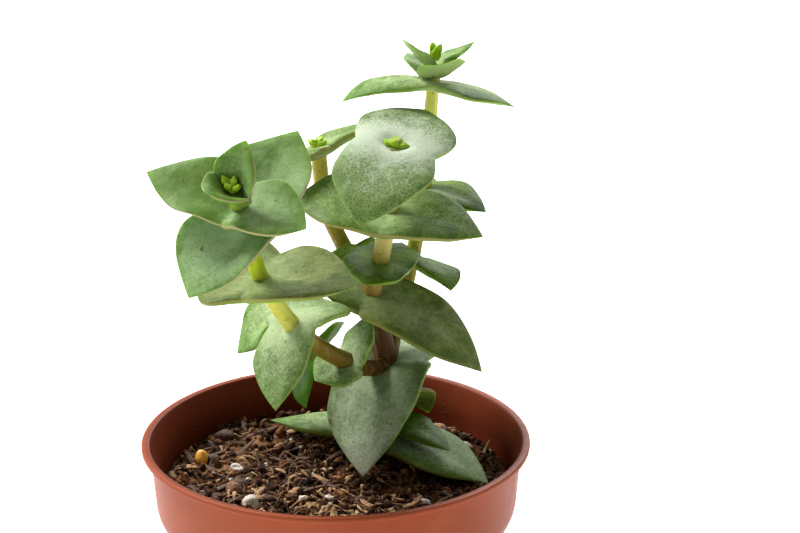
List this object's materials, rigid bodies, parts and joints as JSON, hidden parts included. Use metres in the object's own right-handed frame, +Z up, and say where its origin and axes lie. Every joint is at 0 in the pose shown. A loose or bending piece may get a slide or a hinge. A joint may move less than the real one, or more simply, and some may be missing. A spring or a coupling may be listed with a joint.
{
  "type": "potted string of buttons",
  "caption": "Small branched succulent with thick pointed leaf pairs threaded on upright stems, growing in dark peat in a round tapered nursery pot with a banded rim.",
  "frame": {"origin": "middle of the pot's flat underside, which stands on the table", "axes": "+Z up, the tallest shoots at the top; +Y away from the viewer of the picture; +X to the viewer's right"},
  "size_m": [0.06, 0.06, 0.1106],
  "materials": {
    "pot_plastic": "satin terracotta-coloured plastic",
    "soil": "moist crumbly peat with perlite and bark",
    "stem": "smooth, partly woody",
    "leaf": "waxy with a powdery bloom",
    "young_leaf": "smooth and waxy",
    "bud": "smooth and waxy"
  },
  "bodies": {
    "root": {"pot": "pot_plastic", "soil": "soil", "stem": "stem", "centre_leaves_1": "leaf", "centre_leaves_2": "leaf", "centre_leaves_3": "leaf", "centre_leaves_4": "leaf", "centre_leaves_5": "leaf", "centre_leaves_6": "leaf", "centre_leaves_7": "leaf", "centre_leaves_8": "leaf", "centre_bud": "bud", "back_leaves_1": "leaf", "back_leaves_2": "leaf", "back_leaves_3": "leaf", "back_bud": "bud", "right_leaves_1": "leaf", "right_leaves_2": "leaf", "right_leaves_3": "leaf", "right_leaves_4": "leaf", "right_leaves_5": "leaf", "right_bud": "bud", "front_leaves_1": "leaf", "front_leaves_2": "leaf", "front_leaves_3": "leaf", "front_leaves_4": "young_leaf", "front_leaves_5": "young_leaf", "front_leaves_6": "young_leaf", "front_bud": "bud", "low_leaves_1": "leaf", "low_leaves_2": "leaf", "low_bud": "bud"}
  },
  "joints": []
}
